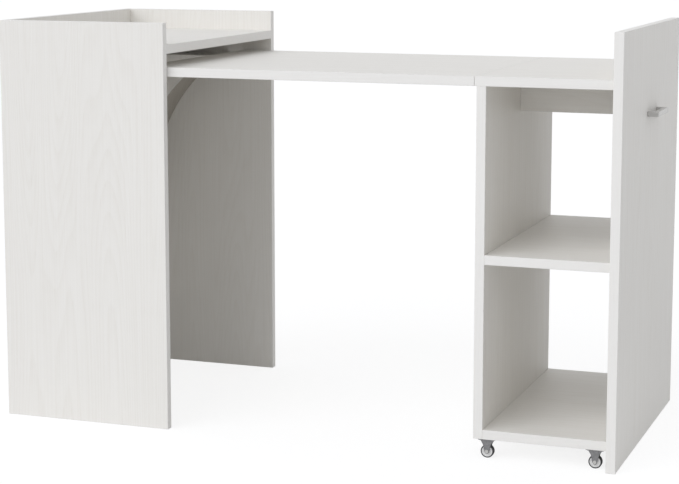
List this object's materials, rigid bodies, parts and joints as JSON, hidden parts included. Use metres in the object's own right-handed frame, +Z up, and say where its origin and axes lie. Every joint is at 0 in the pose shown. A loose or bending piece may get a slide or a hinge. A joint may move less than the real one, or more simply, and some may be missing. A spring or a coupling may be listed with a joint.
{
  "type": "sewing table",
  "caption": "White wood-grain sewing table: open console, drop leaf and a rolling shelf cabinet with an end panel and pull handle that closes the console.",
  "frame": {"origin": "on the floor under the middle of the open table", "axes": "+X along the worktop from the console to the cabinet, +Y from front to back, +Z up"},
  "size_m": [1.27, 0.566, 0.8],
  "materials": {
    "white_board": "white wood-grain foil on particle board, matt with a fine vertical grain",
    "satin_nickel": "satin nickel plate",
    "zinc_steel": "zinc-plated pressed steel",
    "dark_steel": "dark zinc-plated pressed steel",
    "white_plastic": "moulded white plastic",
    "tyre_rubber": "dark grey rubber"
  },
  "bodies": {
    "console": {"console_front_panel": "white_board", "console_back_panel": "white_board", "console_end_panel": "white_board", "console_top": "white_board", "guide_rib_front_a": "white_board", "guide_rib_front_b": "white_board", "guide_strip_front": "white_board", "guide_rib_back_a": "white_board", "guide_rib_back_b": "white_board", "guide_strip_back": "white_board"},
    "cabinet": {"cabinet_top": "white_board", "cabinet_left_panel": "white_board", "cabinet_bottom": "white_board", "cabinet_shelf": "white_board", "cabinet_rail": "white_board", "cabinet_end_panel": "white_board", "handle": "satin_nickel", "handle_screw_front": "zinc_steel", "handle_screw_back": "zinc_steel", "hinge_cabinet_plate_1": "zinc_steel", "hinge_pin_1": "zinc_steel", "hinge_cabinet_plate_2": "zinc_steel", "hinge_pin_2": "zinc_steel", "hinge_cabinet_plate_3": "zinc_steel", "hinge_pin_3": "zinc_steel", "caster_fork_front_left": "dark_steel", "caster_axle_front_left": "satin_nickel", "caster_fork_front_right": "dark_steel", "caster_axle_front_right": "satin_nickel", "caster_fork_back_left": "dark_steel", "caster_axle_back_left": "satin_nickel", "caster_fork_back_right": "dark_steel", "caster_axle_back_right": "satin_nickel"},
    "leaf": {"leaf": "white_board", "hinge_leaf_plate_1": "zinc_steel", "hinge_leaf_plate_2": "zinc_steel", "hinge_leaf_plate_3": "zinc_steel"},
    "wheel_front_left": {"caster_hub_front_left": "white_plastic", "caster_tyre_front_left": "tyre_rubber"},
    "wheel_front_right": {"caster_hub_front_right": "white_plastic", "caster_tyre_front_right": "tyre_rubber"},
    "wheel_back_left": {"caster_hub_back_left": "white_plastic", "caster_tyre_back_left": "tyre_rubber"},
    "wheel_back_right": {"caster_hub_back_right": "white_plastic", "caster_tyre_back_right": "tyre_rubber"}
  },
  "joints": [
    {"name": "cabinet_slide", "type": "slide", "parent": "console", "child": "cabinet", "axis": [-1, 0, 0], "range_m": [0, 0.688]},
    {"name": "leaf_fold", "type": "hinge", "parent": "cabinet", "child": "leaf", "pos_m": [0.3385, 0, 0.694], "axis": [0, -1, 0], "range_deg": [0, 90]},
    {"name": "wheel_front_left_roll", "type": "hinge", "parent": "cabinet", "child": "wheel_front_left", "pos_m": [0.3655, -0.251, 0.0125], "axis": [0, 1, 0], "continuous": true},
    {"name": "wheel_front_right_roll", "type": "hinge", "parent": "cabinet", "child": "wheel_front_right", "pos_m": [0.57, -0.251, 0.0125], "axis": [0, 1, 0], "continuous": true},
    {"name": "wheel_back_left_roll", "type": "hinge", "parent": "cabinet", "child": "wheel_back_left", "pos_m": [0.3655, 0.239, 0.0125], "axis": [0, 1, 0], "continuous": true},
    {"name": "wheel_back_right_roll", "type": "hinge", "parent": "cabinet", "child": "wheel_back_right", "pos_m": [0.57, 0.239, 0.0125], "axis": [0, 1, 0], "continuous": true}
  ],
  "couplings": [
    {"joint": "leaf_fold", "follows": "cabinet_slide", "rad_per_m": 2.28}
  ]
}
